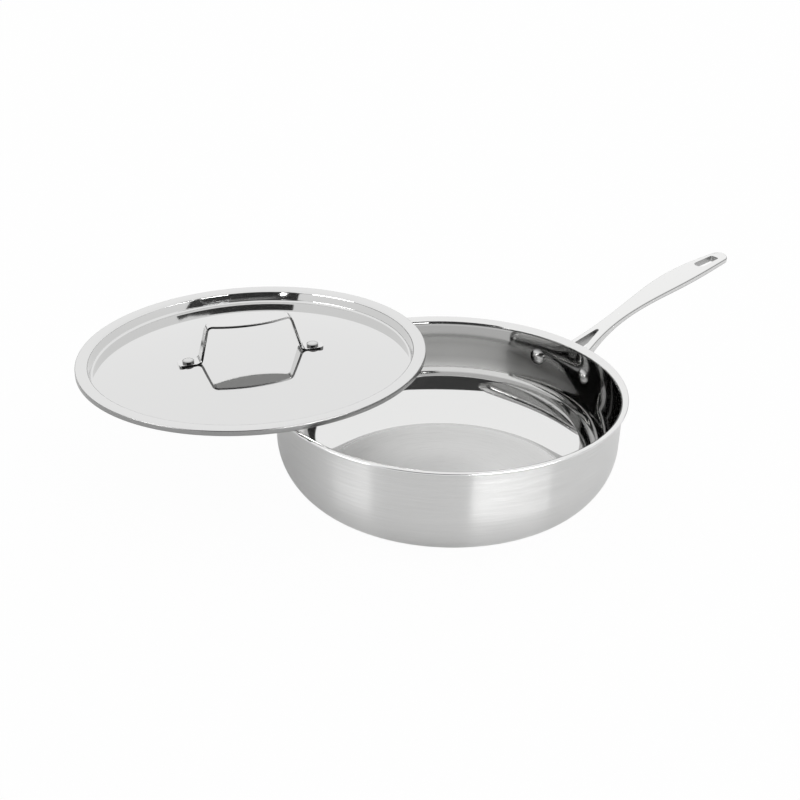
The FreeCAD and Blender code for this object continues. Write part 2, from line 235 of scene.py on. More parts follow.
brushed, tree, shader = steel("brushed_outside", BRUSHED_COLOUR, BRUSHED_ROUGHNESS[0])
lines, _ = turned_lines(tree, *BRUSH_LINES)
shaded(tree, shader, BRUSHED_COLOUR, (ranged(tree, lines, *BRUSH_CONTRAST, 0.0, 1.0), BRUSHED_LIGHT))
tree.links.new(varied(tree, lines, *BRUSHED_ROUGHNESS), shader.inputs["Roughness"])
shader.inputs["Anisotropic"].default_value = BRUSHED_ANISOTROPY
shader.inputs["Anisotropic Rotation"].default_value = QUARTER_TURN
round_the_wall = node(tree, "ShaderNodeTangent", direction_type="RADIAL", axis="Z")
tree.links.new(round_the_wall.outputs[0], shader.inputs["Tangent"])
bumped(tree, shader, lines, *BRUSH_BUMP)
finished(pan_layer(0, OUTER_SKIN), "pan_outside", brushed, "brushed_wall",
         "pan_body", "pan_outer_skin")

# The core: the aluminium layer that spreads the heat, rolled and bonded between the two steel skins.
# Only its edge shows, as a line round the lip, where the trimmed sheet is polished.
CORE = 1.4 * MM
CORE_LINES = (2200.0, 3.0)
CORE_COLOUR = (0.84, 0.84, 0.845, 1.0)
CORE_ROUGHNESS = (0.16, 0.26)

aluminium, tree, shader = steel("polished_core_edge", CORE_COLOUR, CORE_ROUGHNESS[0])
lines, _ = turned_lines(tree, *CORE_LINES)
tree.links.new(varied(tree, lines, *CORE_ROUGHNESS), shader.inputs["Roughness"])
finished(pan_layer(OUTER_SKIN, OUTER_SKIN + CORE), "pan_core_layer", aluminium, "core",
         "pan_body", "pan_core")

# The inside of the pan: the inner steel skin, mirror polished on the wall and the lip.
# Its floor is finished separately with a fine abrasive, turning, and is left satin up to a clean edge.
# Its wall is painted darker as painted shade, its satin floor lighter as painted light, and a line round the
# lip's bend darker as a painted dark reflection.
INSIDE_COLOUR = (0.80, 0.80, 0.795, 1.0)
WALL_PAINTED_SHADE = (0.48, 0.48, 0.476, 1.0)
BEND_PAINTED_REFLECTION = (0.20, 0.20, 0.198, 1.0)
FLOOR_PAINTED_LIGHT = (0.97, 0.97, 0.965, 1.0)
FLOOR_LINE_COLOUR = (0.92, 0.92, 0.915, 1.0)
WALL_SHADE_AND_FINISH_RISE = (44.0 * MM, 56.0 * MM)
WALL_SHADE_AND_FINISH_FALL = (84.0 * MM, 87.5 * MM)
PAINTED_BEND_LINE = (85.5 * MM, 86.0 * MM, 86.7 * MM, 87.2 * MM)
SATIN_EDGE = 106.0 * MM
SATIN_BLEND = 4.0 * MM
SATIN_ROUGHNESS = (0.36, 0.44)
FLOOR_LINES = (900.0, 4.0)
FLOOR_CONTRAST = (0.45, 0.70)
FLOOR_BUMP = (0.05, 0.02 * MM)
MIRROR_ROUGHNESS = 0.045
WALL_ROUGHNESS = 0.055
HAZE = 0.005

inside, tree, shader = steel("polished_inside", INSIDE_COLOUR, MIRROR_ROUGHNESS)
shader.inputs["Metallic"].default_value = 1.0 - HAZE
lines, radius = turned_lines(tree, *FLOOR_LINES)
split = node(tree, "ShaderNodeSeparateXYZ")
tree.links.new(node(tree, "ShaderNodeTexCoord").outputs["Object"], split.inputs[0])
height = split.outputs["Z"]
# Where the wall's painted shade and its slightly rougher mirror finish lie, by height.
on_wall = math_node(tree, "MULTIPLY", ranged(tree, height, *WALL_SHADE_AND_FINISH_RISE, 0.0, 1.0),
                    ranged(tree, height, *WALL_SHADE_AND_FINISH_FALL, 1.0, 0.0))
# A painted dark reflection, in a line round the lip's inner bend.
in_painted_bend = math_node(tree, "MULTIPLY", ranged(tree, height, *PAINTED_BEND_LINE[:2], 0.0, 1.0),
                    ranged(tree, height, *PAINTED_BEND_LINE[2:], 1.0, 0.0))
# The satin floor, which is also painted lighter, as painted light.
satin_and_painted_light = ranged(tree, radius, SATIN_EDGE - SATIN_BLEND, SATIN_EDGE, 1.0, 0.0)
floor_line = math_node(tree, "MULTIPLY", satin_and_painted_light, ranged(tree, lines, *FLOOR_CONTRAST, 0.0, 1.0))
shaded(tree, shader, INSIDE_COLOUR, (on_wall, WALL_PAINTED_SHADE), (in_painted_bend, BEND_PAINTED_REFLECTION), (satin_and_painted_light, FLOOR_PAINTED_LIGHT),
       (floor_line, FLOOR_LINE_COLOUR))
floor_rough = math_node(tree, "MULTIPLY", satin_and_painted_light, varied(tree, lines, *SATIN_ROUGHNESS))
wall_rough = ranged(tree, on_wall, 0.0, 1.0, MIRROR_ROUGHNESS, WALL_ROUGHNESS)
tree.links.new(math_node(tree, "MAXIMUM", floor_rough, wall_rough), shader.inputs["Roughness"])
bumped(tree, shader, math_node(tree, "MULTIPLY", satin_and_painted_light, lines), *FLOOR_BUMP)
finished(pan_layer(OUTER_SKIN + CORE, SHEET), "pan_inside", inside, "inside",
         "pan_body", "pan_inner_skin")

# The pan's handle: one steel casting, with a plate curved to the wall, two legs that join into a neck,
# a crowned grip and a slot to hang it by. It is ground smooth, polished all over and riveted on.
# Its edges carry a thin painted dark reflection along their round, and the walls of its openings are left
# rougher and painted darker, as painted shade.
HANDLE_TIP = 356.8 * MM
HANDLE_START = 141.5 * MM
TIP_RADIUS = 8.8 * MM
RIVET_HEIGHT = 68.0 * MM
# The values from here to SLOT are in millimetres, as are the reach and the spread in this section.
TIP_START = (HANDLE_TIP - TIP_RADIUS) / MM
ROOT_REACH = wall_radius(RIVET_HEIGHT, SHEET) / MM
TOP_STATIONS = ((ROOT_REACH, 74.2), (200.0, 93.6), (284.0, 109.8), (356.8, 114.9))
DEPTH_STATIONS = ((ROOT_REACH, 14.0), (200.0, 6.6), (284.0, 5.8), (356.8, 5.4))
WIDTH_STATIONS = ((ROOT_REACH, 34.0), (174.0, 18.2), (200.0, 13.8), (284.0, 25.0), (323.0, 22.4),
                  (348.0, 17.6))
FORK_START = 144.6
FORK_OPENING = 18.0
FORK_APEX = (182.6, 1.8)
SLOT = (323.0, 5.3, 344.5, 4.2, 1.8)
GRIP_CROWN = 0.7 * MM
HANDLE_EDGE = 1.3 * MM
EDGE_SHARE = 0.6
HALF_COLUMNS = 8
FLAT_COLUMNS = 4
ROW_COUNTS = (34, 8, 90, 12, 24, 8, 6, 14)
ROW_EASING = ("even", "end", "even", "start", "even", "end", "even", "end")
ON_LINE = 1e-7
GRID_MERGE = 0.002 * MM
JUST_BEFORE = 0.01
FACING = 0.5
PLATE = (76.0 * MM, 23.0 * MM, 3.4 * MM)
PLATE_SEAT = 0.05 * MM
PLATE_GRID = (40, 18)
PLATE_ROUND = 0.8 * MM
RIM_ANGLE = math.radians(50)
RIM_SEGMENTS = 3
CAST_GRAIN = (260.0, 4.0)
CAST_ROUGHNESS = (0.09, 0.16)
CAST_COLOUR = (0.85, 0.85, 0.845, 1.0)
EDGE_LINE_PAINTED_REFLECTION = (0.10, 0.10, 0.099, 1.0)
RIM_LINE = 64.0
RIM_SPREAD = 30.0
OPENING_PAINTED_SHADE = (0.50, 0.50, 0.497, 1.0)
OPENING_ROUGHNESS = 0.34


def through(stations):
    """A smooth curve through a few stations, as a function of the reach."""
    reach, value = np.array(stations, float).T
    gap = np.diff(reach)
    slope = np.diff(value) / gap
    count = len(reach)
    matrix = np.eye(count)
    right = np.zeros(count)
    for i in range(1, count - 1):
        matrix[i, i - 1:i + 2] = gap[i - 1], 2 * (gap[i - 1] + gap[i]), gap[i]
        right[i] = 6 * (slope[i] - slope[i - 1])
    curve = np.linalg.solve(matrix, right)

    def height(at):
        i = int(np.clip(np.searchsorted(reach, at) - 1, 0, count - 2))
        before, after = at - reach[i], reach[i + 1] - at
        return ((curve[i] * after ** 3 + curve[i + 1] * before ** 3) / (6 * gap[i])
                + (value[i] / gap[i] - curve[i] * gap[i] / 6) * after
                + (value[i + 1] / gap[i] - curve[i + 1] * gap[i] / 6) * before)
    return height


top_line = through(TOP_STATIONS)
casting_depth = through(DEPTH_STATIONS)
casting_width = through(WIDTH_STATIONS)


def half_width(reach):
    """Half the handle's width, with its round tip."""
    if reach < TIP_START:
        return casting_width(reach) / 2
    return math.sqrt(max(0.0, (TIP_RADIUS / MM) ** 2 - (reach - TIP_START) ** 2))


def opening_half(reach):
    """Half the width of the fork's opening or of the slot at a reach, or nothing."""
    apex, apex_radius = FORK_APEX
    if reach < apex + apex_radius:
        half = FORK_OPENING / 2
        if reach <= apex:
            return half + (reach - FORK_START) * (apex_radius - half) / (apex - FORK_START)
        return math.sqrt(max(0.0, apex_radius ** 2 - (reach - apex) ** 2))
    start, start_radius, end, end_half, corner = SLOT
    if start - start_radius < reach < start:
        return math.sqrt(max(0.0, start_radius ** 2 - (reach - start) ** 2))
    if start <= reach <= end:
        straight = start_radius + (reach - start) * (end_half - start_radius) / (end - start)
        past = max(0.0, reach - (end - corner))
        return straight - corner + math.sqrt(max(0.0, corner ** 2 - past ** 2))
    return 0.0


def eased_rows():
    """Reaches of the rows across the casting, closer together round the openings' ends and the tip."""
    apex, apex_radius = FORK_APEX
    start, start_radius, end, _, corner = SLOT
    tip = HANDLE_TIP / MM
    marks = [HANDLE_START / MM, apex, apex + apex_radius, start - start_radius, start, end - corner, end,
             tip - TIP_RADIUS / MM, tip]
    rows = []
    for low, high, count, closer_at in zip(marks, marks[1:], ROW_COUNTS, ROW_EASING):
        part = np.linspace(0, 1, count, endpoint=False)
        if closer_at == "end":
            part = np.sin(part * math.pi / 2)
        if closer_at == "start":
            part = 1 - np.cos(part * math.pi / 2)
        rows += list(low + (high - low) * part)
    return rows + [tip]


def marked(parts, name, share):
    """Keep a number at every vertex or face, which a material reads to change its finish or its painted shade
    there.
    """
    layer = parts.layers.float.new(name)
    for part in parts:
        part[layer] = share(part)


def rounding(reach, spread):
    """Angle that the round along the handle's edge has turned at a place, from 0 on top to a quarter turn."""
    if reach < TIP_START:
        inside = half_width(reach) - abs(spread)
    else:
        inside = TIP_RADIUS / MM - math.hypot(reach - TIP_START, spread)
    return math.asin(min(1.0, max(0.0, 1 - inside * MM / HANDLE_EDGE)))


def casting():
    """The legs, neck and grip: a sheet shaped from above, opened, and drawn down to its depth."""
    bm = bmesh.new()
    rows = eased_rows()
    columns = 2 * HALF_COLUMNS + 1
    made = bmesh.ops.create_grid(bm, x_segments=len(rows) - 1, y_segments=columns - 1, size=1)["verts"]
    grid = sorted(made, key=lambda vert: (round(vert.co.x, 5), round(vert.co.y, 5)))
    for i, vert in enumerate(grid):
        reach = rows[i // columns]
        column = i % columns - HALF_COLUMNS
        inner, outer = opening_half(reach), half_width(reach)
        narrow = max(inner, outer / HALF_COLUMNS)
        rim = min(HANDLE_EDGE / MM, (outer - narrow) * EDGE_SHARE)
        if abs(column) > FLAT_COLUMNS:
            angle = (abs(column) - FLAT_COLUMNS) / (HALF_COLUMNS - FLAT_COLUMNS) * math.pi / 2
            spread = outer - rim + rim * math.sin(angle)
        elif column:
            spread = narrow + (outer - rim - narrow) * (abs(column) - 1) / (FLAT_COLUMNS - 1)
        else:
            spread = 0.0
        crown = GRIP_CROWN * (spread / max(outer, 1)) ** 2
        drop = HANDLE_EDGE * (1 - math.cos(rounding(reach, spread))) + crown
        vert.co = (reach * MM, math.copysign(spread, column) * MM, top_line(reach) * MM - drop)

    def at_opening(vert):
        reach = vert.co.x / MM
        line = max(opening_half(reach), half_width(reach) / HALF_COLUMNS) * MM
        return abs(vert.co.y) <= line + ON_LINE

    opened = [face for face in bm.faces if all(at_opening(vert) for vert in face.verts)
              and opening_half(face.calc_center_median().x / MM) > 0]
    bmesh.ops.delete(bm, geom=opened, context="FACES")
    bmesh.ops.remove_doubles(bm, verts=bm.verts, dist=GRID_MERGE)
    drawn = bmesh.ops.extrude_face_region(bm, geom=bm.faces[:])["geom"]
    under = {part for part in drawn if isinstance(part, bmesh.types.BMVert)}
    for vert in under:
        reach, spread = vert.co.x / MM, vert.co.y / MM
        rise = HANDLE_EDGE * (1 - math.cos(rounding(reach, spread)))
        vert.co.z = (top_line(reach) - casting_depth(reach)) * MM + rise

    # A painted dark reflection: a thin line along the round of the top's edges.
    def painted_reflection_line(vert):
        turned_by = math.degrees(rounding(vert.co.x / MM, vert.co.y / MM))
        return 0.0 if vert in under else max(0.0, 1 - abs(turned_by - RIM_LINE) / RIM_SPREAD)

    # The walls of the fork's opening and of the slot: left rougher, and painted darker as painted shade.
    def in_opening(face):
        middle = face.calc_center_median() / MM
        upright = abs(face.normal.z) < FACING
        inner = opening_half(middle.x - JUST_BEFORE)
        near = abs(middle.y) < (inner + half_width(middle.x)) / 2
        return 1.0 if upright and near and inner > 0 else 0.0

    marked(bm.verts, "edge", painted_reflection_line)
    bmesh.ops.recalc_face_normals(bm, faces=bm.faces)
    bm.normal_update()
    marked(bm.faces, "opening_finish_and_shade", in_opening)
    return bm


def mounting_plate():
    """The plate: a round-ended sheet laid on the wall's curve, given its thickness and rounded."""
    width, height, thickness = PLATE
    columns, rows = PLATE_GRID
    bm = bmesh.new()
    bmesh.ops.create_grid(bm, x_segments=columns, y_segments=rows, size=1)
    for vert in bm.verts:
        up = math.sin(vert.co.y * math.pi / 2)
        half = (width - height) / 2 + height / 2 * math.sqrt(max(0.0, 1 - up ** 2))
        side, level = vert.co.x * half, RIVET_HEIGHT + up * height / 2
        vert.co = (math.sqrt(wall_radius(level, -PLATE_SEAT - thickness) ** 2 - side ** 2), side, level)
    drawn = bmesh.ops.extrude_face_region(bm, geom=bm.faces[:])["geom"]
    for vert in drawn:
        if isinstance(vert, bmesh.types.BMVert):
            vert.co.x = math.sqrt(wall_radius(vert.co.z, -PLATE_SEAT) ** 2 - vert.co.y ** 2)
    bmesh.ops.recalc_face_normals(bm, faces=bm.faces)
    rounded_rims(bm, PLATE_ROUND)
    mesh = bpy.data.meshes.new("plate")
    bm.to_mesh(mesh)
    bm.free()
    return mesh


def rounded_rims(bm, width):
    """Round every edge where two faces meet sharply."""
    rims = [edge for edge in bm.edges if len(edge.link_faces) == 2 and edge.calc_face_angle() > RIM_ANGLE]
    bmesh.ops.bevel(bm, geom=rims, offset=width, offset_type="OFFSET", affect="EDGES", segments=RIM_SEGMENTS,
                    profile=0.5, material=-1, clamp_overlap=True)
    bm.normal_update()


def speckle(tree, scale, detail):
    """A fine noise all through the metal."""
    noise = node(tree, "ShaderNodeTexNoise")
    noise.inputs["Scale"].default_value = scale
    noise.inputs["Detail"].default_value = detail
    tree.links.new(node(tree, "ShaderNodeTexCoord").outputs["Object"], noise.inputs["Vector"])
    return noise.outputs[0]


def kept(tree, name):
    """The number that marked() keeps on the mesh under a name."""
    return node(tree, "ShaderNodeAttribute", attribute_name=name).outputs["Fac"]


def roughened(tree, shader, polish, share, roughness):
    """Polish a metal all over, except where its share of a rougher finish is more."""
    rough = math_node(tree, "MULTIPLY", share, roughness)
    tree.links.new(math_node(tree, "MAXIMUM", polish, rough), shader.inputs["Roughness"])


cast, tree, shader = steel("polished_casting", CAST_COLOUR, CAST_ROUGHNESS[0])
# Painted light on the casting: a dark reflection line along the edges, and shade in the openings, which are
# also rougher.
edge, opening_finish_and_shade = kept(tree, "edge"), kept(tree, "opening_finish_and_shade")
shaded(tree, shader, CAST_COLOUR, (edge, EDGE_LINE_PAINTED_REFLECTION), (opening_finish_and_shade, OPENING_PAINTED_SHADE))
polish = varied(tree, speckle(tree, *CAST_GRAIN), *CAST_ROUGHNESS)
roughened(tree, shader, polish, opening_finish_and_shade, OPENING_ROUGHNESS)
bm = casting()
plate = mounting_plate()
bm.from_mesh(plate)
bpy.data.meshes.remove(plate)
finished(bm, "pan_grip", cast, "handle", "pan_body", "pan_handle")

# The pan's rivets: solid steel, pushed through the wall and the plate from inside and headed over outside.
# The large domed heads inside the pan are polished.
# The sides of every rivet head are painted darker, as painted shade round the rim.
RIVET_SPACING = 53.0 * MM
RIVET_HEAD = (7.3 * MM, 3.2 * MM)
RIVET_SHANK = 3.0 * MM
RIVET_TAIL = (5.4 * MM, 1.6 * MM)
RIVET_COLOUR = (0.70, 0.70, 0.695, 1.0)
RIVET_RIM_PAINTED_SHADE = (0.16, 0.16, 0.159, 1.0)
RIVET_RIM = (0.92, 0.72)
RIVET_GRAIN = (420.0, 2.0)
RIVET_ROUGHNESS = (0.08, 0.14)
RIVET_STEPS = 64
DOME_STEPS = 14


def dome(bm, vert, radius, side, rise, way, seat):
    """Draw a head's section: out under the head, up its side and over the dome to the axis, or back down."""
    ball = (radius ** 2 + rise ** 2) / (2 * rise)
    sweep = math.asin(radius / ball)
    if way > 0:
        vert = run(bm, vert, radius, seat)
        vert = run(bm, vert, radius, seat + side)
        return bend(bm, vert, 0, seat + side + rise - ball, sweep, DOME_STEPS)
    vert = bend(bm, vert, 0, seat - side - rise + ball, sweep, DOME_STEPS)
    return run(bm, vert, radius, seat)


def rivet_shape(head, head_side, tail, shank, grip):
    """A rivet along +Z: its tail below the grip, its shank and its head above."""
    bm = bmesh.new()
    vert = bm.verts.new((0, 0, -tail[1]))
    vert = dome(bm, vert, tail[0], 0, tail[1], -1, 0)
    vert = run(bm, vert, shank, 0)
    vert = run(bm, vert, shank, grip)
    dome(bm, vert, head[0], head_side, head[1], 1, grip)
    turned(bm, RIVET_STEPS)
    bmesh.ops.recalc_face_normals(bm, faces=bm.faces)
    bm.normal_update()
    # Painted shade: the steeper sides of the heads, and the shank, are marked to be painted darker.
    start, end = RIVET_RIM
    marked(bm.verts, "edge", lambda vert: min(1.0, max(0.0, (start - abs(vert.normal.z)) / (start - end))))
    return bm


rivet_steel, tree, shader = steel("polished_rivet", RIVET_COLOUR, RIVET_ROUGHNESS[0])
shaded(tree, shader, RIVET_COLOUR, (kept(tree, "edge"), RIVET_RIM_PAINTED_SHADE))
tree.links.new(varied(tree, speckle(tree, *RIVET_GRAIN), *RIVET_ROUGHNESS), shader.inputs["Roughness"])
inner_wall = wall_radius(RIVET_HEIGHT, SHEET)
grip = SHEET + PLATE_SEAT + PLATE[2]
for side, way in (("left", 1), ("right", -1)):
    turned_by = way * math.asin(RIVET_SPACING / 2 / inner_wall)
    outwards = Vector((math.cos(turned_by), math.sin(turned_by), 0))
    inwards = Vector((0, 0, math.sin(WALL_LEAN))) - outwards * math.cos(WALL_LEAN)
    seat = outwards * inner_wall + Vector((0, 0, RIVET_HEIGHT))
    bm = rivet_shape(RIVET_HEAD, 0, RIVET_TAIL, RIVET_SHANK, grip)
    place = Matrix.Translation(seat - inwards * grip) @ inwards.to_track_quat("Z", "Y").to_matrix().to_4x4()
    bmesh.ops.transform(bm, matrix=place, verts=bm.verts)
    finished(bm, "wall_rivet_" + side, rivet_steel, "rivets", "pan_body", "pan_rivet_" + side)

# The lid: one steel sheet, pressed to a flat flange with a turned-down edge, a recess that sits in the
# pan's mouth and a domed panel. It is mirror polished on both faces, and its edge is left satin.
# The outside of that edge is also painted darker, as a painted dark reflection.
LID_SHEET = 1.0 * MM
LID_RADIUS = 146.7 * MM
LID_EDGE = (5.2 * MM, 1.3 * MM)
LID_CLEARANCE = 5.8 * MM
LID_PANEL = wall_radius(PAN_HEIGHT - SHEET, SHEET) - LID_CLEARANCE
LID_RECESS = 10.2 * MM
LID_DOME = 9.5 * MM
LID_FLARE = 1.4 * MM
LID_ROUND = 2.2 * MM
LID_STEPS = (40, 10, 10, 8)
LID_FOOT_STEPS = 6
LID_OFFSET = 171.8 * MM
LID_AZIMUTH = math.radians(120.4)
LID_DROOP = math.radians(2.95)
LID_REST_GAP = 0.3 * MM
LID_HANDLE_TURN = math.radians(-28.4)
LID_COLOUR = (0.74, 0.74, 0.737, 1.0)
LID_HAZE = (38.0, 3.0)
LID_ROUGHNESS = (0.035, 0.06)
LID_EDGE_PAINTED_SHADE = (0.34, 0.34, 0.338, 1.0)
EDGE_ROUGHNESS = 0.26


def lid_shell():
    """The lid's section, drawn out over its upper face, round the foot of its edge and back, then turned."""
    middle = LID_DOME - LID_RECESS
    edge_drop, edge_round = LID_EDGE
    foot = -edge_drop + LID_SHEET / 2
    outline = [(0, middle), (LID_PANEL / 2, middle), (LID_PANEL, -LID_RECESS),
               (LID_PANEL + LID_FLARE, 0), (LID_RADIUS, 0), (LID_RADIUS, foot)]
    dome_round = (LID_PANEL / 2 - LID_ROUND * 2) / math.tan(math.atan2(LID_DOME, LID_PANEL / 2) / 2)
    rounds = (dome_round, LID_ROUND, LID_ROUND, edge_round)
    bm = bmesh.new()
    vert = follow(bm, bm.verts.new((0, 0, middle)), outline, rounds, LID_STEPS, 0)
    vert = bend(bm, vert, LID_RADIUS - LID_SHEET / 2, foot, -math.pi, LID_FOOT_STEPS)
    follow(bm, vert, outline[::-1], rounds[::-1], LID_STEPS[::-1], LID_SHEET)
    turned(bm, TURNED_STEPS)
    return bm


def laid():
    """Where the lid lies: turned for its handle, tipped, and set on the lip where the two circles cross."""
    plug = LID_PANEL + LID_SHEET
    crossing = (RIM_RADIUS ** 2 + LID_OFFSET ** 2 - plug ** 2) / (2 * LID_OFFSET)
    fall = (LID_OFFSET - crossing) * math.tan(LID_DROOP)
    height = PAN_HEIGHT + LID_REST_GAP + LID_RECESS + LID_SHEET - fall
    tip_axis = Vector((-math.sin(LID_AZIMUTH), math.cos(LID_AZIMUTH), 0))
    place = Vector((LID_OFFSET * math.cos(LID_AZIMUTH), LID_OFFSET * math.sin(LID_AZIMUTH), height))
    return (Matrix.Translation(place) @ Matrix.Rotation(LID_DROOP, 4, tip_axis)
            @ Matrix.Rotation(LID_HANDLE_TURN, 4, "Z"))


def on_lid_edge(vert):
    """Whether a point lies on the outside of the turned-down edge, as 1 or 0."""
    upright = math.hypot(vert.co.x, vert.co.y) > LID_RADIUS - LID_SHEET / 2
    return 1.0 if upright and vert.co.z < -LID_EDGE[1] / 2 else 0.0


mirror, tree, shader = steel("mirror_lid", LID_COLOUR, LID_ROUGHNESS[0])
# The turned-down edge: a satin finish, and painted darker as a painted dark reflection.
edge = kept(tree, "edge")
shaded(tree, shader, LID_COLOUR, (edge, LID_EDGE_PAINTED_SHADE))
polish = varied(tree, speckle(tree, *LID_HAZE), *LID_ROUGHNESS)
roughened(tree, shader, polish, edge, EDGE_ROUGHNESS)
bm = lid_shell()
marked(bm.verts, "edge", on_lid_edge)
bmesh.ops.transform(bm, matrix=laid(), verts=bm.verts)
finished(bm, "lid_disc", mirror, "lid", "lid_body", "lid")

# The lid's handle: a steel strap, cut out with a leaf-shaped bar, bent up and polished on top.
# Its two blunt pads lie on the panel and are riveted through it.
# Its underside is painted darker as painted shade, and its cut edges carry a painted dark reflection.
STRAP = 2.0 * MM
STRAP_WIDTH = 8.4 * MM
BAR_WIDTH = 22.5 * MM
BAR_LENGTH = 68.6 * MM
BAR_CLEARANCE = 29.1 * MM
FOOT_SPACING = 84.8 * MM
STRAP_BEND = 4.0 * MM
PAD_WIDTH = 13.2 * MM
PAD_END = 8.8 * MM
PAD_CORNER = 4.0 * MM
LID_RIVET_SPACING = 106.0 * MM
STRAP_COLUMNS = 12
CORNER_POINTS = 8
LEG_POINTS = 8
BAR_POINTS = 20
STRAP_BEND_STEPS = 10
STRAP_ROUND = 0.5 * MM
STRAP_GRAIN = (300.0, 2.0)
STRAP_ROUGHNESS = (0.07, 0.13)
STRAP_COLOUR = (0.77, 0.77, 0.767, 1.0)
UNDERSIDE_PAINTED_SHADE = (0.36, 0.36, 0.357, 1.0)
CUT_PAINTED_REFLECTION = (0.10, 0.10, 0.099, 1.0)
CUT_FADE = (-0.10, 0.40)
CUT_FADED = 0.7
LEG_CUT = 0.9


def panel_height(radius):
    """Height of the domed panel above the lid's flange."""
    return LID_DOME * (1 - (radius / LID_PANEL) ** 2) - LID_RECESS


strap_end = LID_RIVET_SPACING / 2 + PAD_END
pad_seat = panel_height(strap_end)


def strap_half_width(reach):
    """Half the strap's width at a distance from its middle, seen from above."""
    reach = abs(reach)
    if reach <= BAR_LENGTH / 2:
        half, rise = BAR_LENGTH / 2, (BAR_WIDTH - STRAP_WIDTH) / 2
        ball = (half ** 2 + rise ** 2) / (2 * rise)
        return BAR_WIDTH / 2 - ball + math.sqrt(ball ** 2 - reach ** 2)
    if reach <= FOOT_SPACING / 2:
        share = (reach - BAR_LENGTH / 2) / ((FOOT_SPACING - BAR_LENGTH) / 2)
        return (STRAP_WIDTH + (PAD_WIDTH - STRAP_WIDTH) * share) / 2
    past = max(0.0, reach - (strap_end - PAD_CORNER))
    return PAD_WIDTH / 2 - PAD_CORNER + math.sqrt(max(0.0, PAD_CORNER ** 2 - past ** 2))


def strap_line():
    """Points along the strap's lower face, seen from the side."""
    bm = bmesh.new()
    high = panel_height(0) + BAR_CLEARANCE
    lean = math.atan2(high - pad_seat, (FOOT_SPACING - BAR_LENGTH) / 2)
    foot_round = STRAP_BEND + STRAP
    foot_tangent = foot_round * math.tan(lean / 2)
    bar_tangent = STRAP_BEND * math.tan(lean / 2)
    leg = Vector((math.cos(lean), 0, math.sin(lean)))
    vert = bm.verts.new((-strap_end, 0, pad_seat))
    corner_start = -strap_end + PAD_CORNER
    for part in range(1, CORNER_POINTS + 1):
        angle = part / CORNER_POINTS * math.pi / 2
        vert = run(bm, vert, corner_start - PAD_CORNER * math.cos(angle), pad_seat)
    vert = run(bm, vert, -FOOT_SPACING / 2 - foot_tangent, pad_seat)
    vert = bend(bm, vert, -FOOT_SPACING / 2 - foot_tangent, pad_seat + foot_round, lean, STRAP_BEND_STEPS)
    leg_top = Vector((-BAR_LENGTH / 2, 0, high)) - leg * bar_tangent
    leg_foot = vert.co.copy()
    for part in range(1, LEG_POINTS + 1):
        vert = run(bm, vert, *leg_foot.lerp(leg_top, part / LEG_POINTS).xz)
    vert = bend(bm, vert, -BAR_LENGTH / 2 + bar_tangent, high - STRAP_BEND, -lean, STRAP_BEND_STEPS)
    bar_start = vert.co.x
    for part in range(1, BAR_POINTS + 1):
        vert = run(bm, vert, bar_start * (1 - part / BAR_POINTS), high)
    half = [vert.co.copy() for vert in bm.verts]
    bm.free()
    return half + [Vector((-point.x, 0, point.z)) for point in reversed(half[:-1])]


def strap():
    """A flat strip, bent along its line, cut to its outline and given its thickness."""
    line = strap_line()
    bm = bmesh.new()
    columns = STRAP_COLUMNS + 1
    made = bmesh.ops.create_grid(bm, x_segments=len(line) - 1, y_segments=STRAP_COLUMNS, size=1)["verts"]
    grid = sorted(made, key=lambda vert: (round(vert.co.x, 5), round(vert.co.y, 5)))
    for i, vert in enumerate(grid):
        point = line[i // columns]
        across = 2 * (i % columns) / STRAP_COLUMNS - 1
        vert.co = (point.x, across * strap_half_width(point.x), point.z)
    bmesh.ops.recalc_face_normals(bm, faces=bm.faces)
    if bm.faces[:][0].normal.z > 0:
        bmesh.ops.reverse_faces(bm, faces=bm.faces)
    bmesh.ops.solidify(bm, geom=bm.faces[:], thickness=STRAP)
    bmesh.ops.recalc_face_normals(bm, faces=bm.faces)
    return bm


def painted_cut_reflection(reach):
    """How much painted dark reflection a cut edge takes: it fades towards one end of the bar, and the legs
    take a fixed share.
    """
    start, end = CUT_FADE
    along = min(1.0, max(0.0, (reach / BAR_LENGTH - start) / (end - start)))
    return 1.0 - CUT_FADED * along if abs(reach) < BAR_LENGTH / 2 else LEG_CUT


strap_steel, tree, shader = steel("polished_strap", STRAP_COLOUR, STRAP_ROUGHNESS[0])
shaded(tree, shader, STRAP_COLOUR, (kept(tree, "under"), UNDERSIDE_PAINTED_SHADE), (kept(tree, "painted_cut_line"), CUT_PAINTED_REFLECTION))
tree.links.new(varied(tree, speckle(tree, *STRAP_GRAIN), *STRAP_ROUGHNESS), shader.inputs["Roughness"])
bm = strap()
rounded_rims(bm, STRAP_ROUND)
# Painted shade on the strap's downward faces.
marked(bm.verts, "under", lambda vert: 1.0 if vert.normal.z < -FACING else 0.0)
marked(bm.verts, "painted_cut_line", lambda vert: painted_cut_reflection(vert.co.x) if abs(vert.normal.y) > FACING else 0.0)
bmesh.ops.transform(bm, matrix=laid(), verts=bm.verts)
finished(bm, "lid_strap", strap_steel, "lid_handle", "lid_body", "lid_handle")

# The lid's rivets: solid steel, headed over above the pads and under the lid.
# Their upper heads are turned with a straight side and a low dome, and polished.
LID_RIVET_HEAD = (4.9 * MM, 1.6 * MM)
LID_RIVET_SIDE = 1.6 * MM
LID_RIVET_SHANK = 2.5 * MM
LID_RIVET_TAIL = (5.6 * MM, 1.5 * MM)

